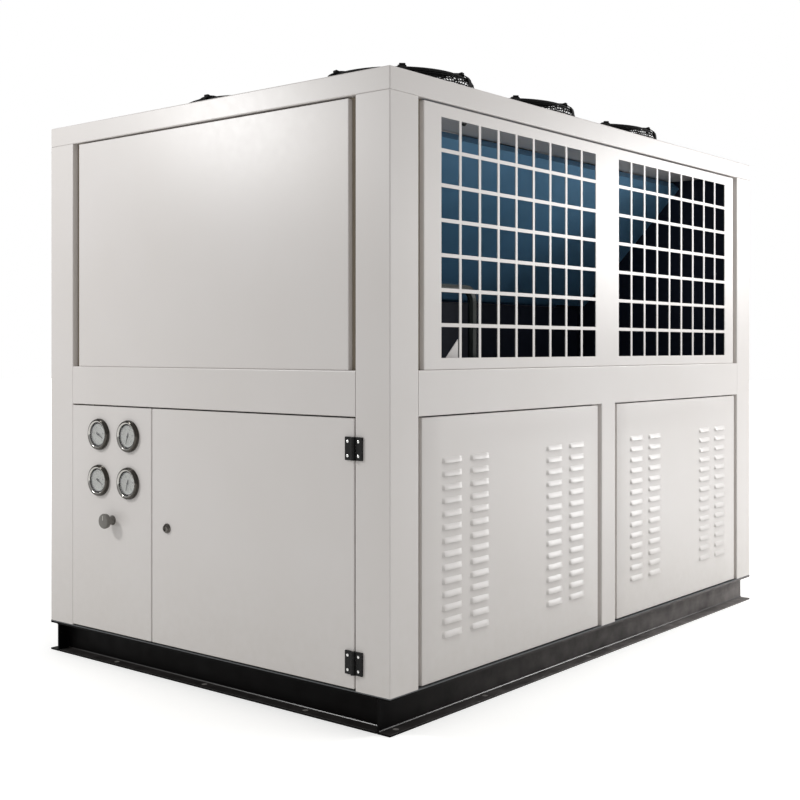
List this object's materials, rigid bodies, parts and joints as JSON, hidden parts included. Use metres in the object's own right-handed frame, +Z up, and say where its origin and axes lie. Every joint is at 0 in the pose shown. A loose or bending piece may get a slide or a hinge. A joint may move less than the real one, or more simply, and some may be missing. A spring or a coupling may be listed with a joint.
{
  "type": "air cooled water chiller",
  "caption": "Box-shaped air cooled water chiller with roof fans, side grilles over coils, louvred lower panels, gauges and a hinged door.",
  "frame": {"origin": "on the ground under the middle of the cabinet, on the underside of the base's cross member", "axes": "+X along the long side, away from the door end; +Y across the cabinet to its left; +Z up"},
  "size_m": [2.8753, 1.856, 2.342],
  "materials": {
    "powder_coat": "satin light grey powder coat",
    "black_paint": "satin black paint",
    "grey_sheet": "dark grey paint",
    "steel": "polished stainless steel",
    "chrome": "chrome plate",
    "coil_fins": "blue green coated fins",
    "guard_wire": "black coated wire",
    "fan_black": "black painted sheet",
    "hinge_black": "black coated casting",
    "knob_plastic": "dark grey moulded plastic",
    "pipe_dark": "dark insulated copper pipe"
  },
  "bodies": {
    "cabinet": {"base_beam_right": "black_paint", "base_beam_left": "black_paint", "base_beam_front": "black_paint", "base_beam_rear": "black_paint", "base_cross_member": "black_paint", "floor_pan": "grey_sheet", "corner_post_1": "powder_coat", "corner_post_2": "powder_coat", "corner_post_3": "powder_coat", "corner_post_4": "powder_coat", "mid_frame_right": "powder_coat", "mid_frame_left": "powder_coat", "end_rail_front": "powder_coat", "end_rail_rear": "powder_coat", "roof_frame": "powder_coat", "deck_panel_1": "powder_coat", "deck_panel_2": "powder_coat", "deck_panel_3": "powder_coat", "upper_panel_front": "powder_coat", "upper_panel_rear": "powder_coat", "grille_panel_right": "powder_coat", "grille_panel_left": "powder_coat", "louvre_panel_1": "powder_coat", "louvre_panel_2": "powder_coat", "louvre_panel_3": "powder_coat", "louvre_panel_4": "powder_coat", "gauge_panel": "powder_coat", "lower_panel_rear": "powder_coat", "gauge_1": "steel", "gauge_2": "steel", "gauge_3": "steel", "gauge_4": "steel", "switch_plate": "knob_plastic", "hinge_leaf_post_1": "hinge_black", "hinge_leaf_post_2": "hinge_black", "coil_right": "coil_fins", "coil_left": "coil_fins", "coil_end_plate_front": "grey_sheet", "coil_end_plate_rear": "grey_sheet", "drip_tray": "grey_sheet", "refrigerant_pipe": "pipe_dark", "bulkhead": "grey_sheet", "fan_guard_1": "guard_wire", "fan_guard_2": "guard_wire", "fan_guard_3": "guard_wire", "fan_guard_4": "guard_wire", "fan_guard_5": "guard_wire", "fan_guard_6": "guard_wire"},
    "door_leaf": {"door": "powder_coat", "door_lock": "chrome", "hinge_leaf_door_1": "hinge_black", "hinge_leaf_door_2": "hinge_black"},
    "knob": {"switch_knob": "knob_plastic"},
    "rotor_1": {"fan_impeller_1": "fan_black"},
    "rotor_2": {"fan_impeller_2": "fan_black"},
    "rotor_3": {"fan_impeller_3": "fan_black"},
    "rotor_4": {"fan_impeller_4": "fan_black"},
    "rotor_5": {"fan_impeller_5": "fan_black"},
    "rotor_6": {"fan_impeller_6": "fan_black"}
  },
  "joints": [
    {"name": "door_swing", "type": "hinge", "parent": "cabinet", "child": "door_leaf", "pos_m": [-1.421, -0.7715, 0.6], "axis": [0, 0, 1], "range_deg": [0, 120]},
    {"name": "knob_turn", "type": "hinge", "parent": "cabinet", "child": "knob", "pos_m": [-1.4325, 0.5105, 0.577], "axis": [-1, 0, 0], "range_deg": [0, 90]},
    {"name": "fan_spin_1", "type": "hinge", "parent": "cabinet", "child": "rotor_1", "pos_m": [-0.75, -0.40499, 2.15], "axis": [0, 0, 1], "continuous": true},
    {"name": "fan_spin_2", "type": "hinge", "parent": "cabinet", "child": "rotor_2", "pos_m": [0, -0.40499, 2.15], "axis": [0, 0, 1], "continuous": true},
    {"name": "fan_spin_3", "type": "hinge", "parent": "cabinet", "child": "rotor_3", "pos_m": [0.75, -0.40499, 2.15], "axis": [0, 0, 1], "continuous": true},
    {"name": "fan_spin_4", "type": "hinge", "parent": "cabinet", "child": "rotor_4", "pos_m": [-0.75, 0.40499, 2.15], "axis": [0, 0, 1], "continuous": true},
    {"name": "fan_spin_5", "type": "hinge", "parent": "cabinet", "child": "rotor_5", "pos_m": [0, 0.40499, 2.15], "axis": [0, 0, 1], "continuous": true},
    {"name": "fan_spin_6", "type": "hinge", "parent": "cabinet", "child": "rotor_6", "pos_m": [0.75, 0.40499, 2.15], "axis": [0, 0, 1], "continuous": true}
  ]
}
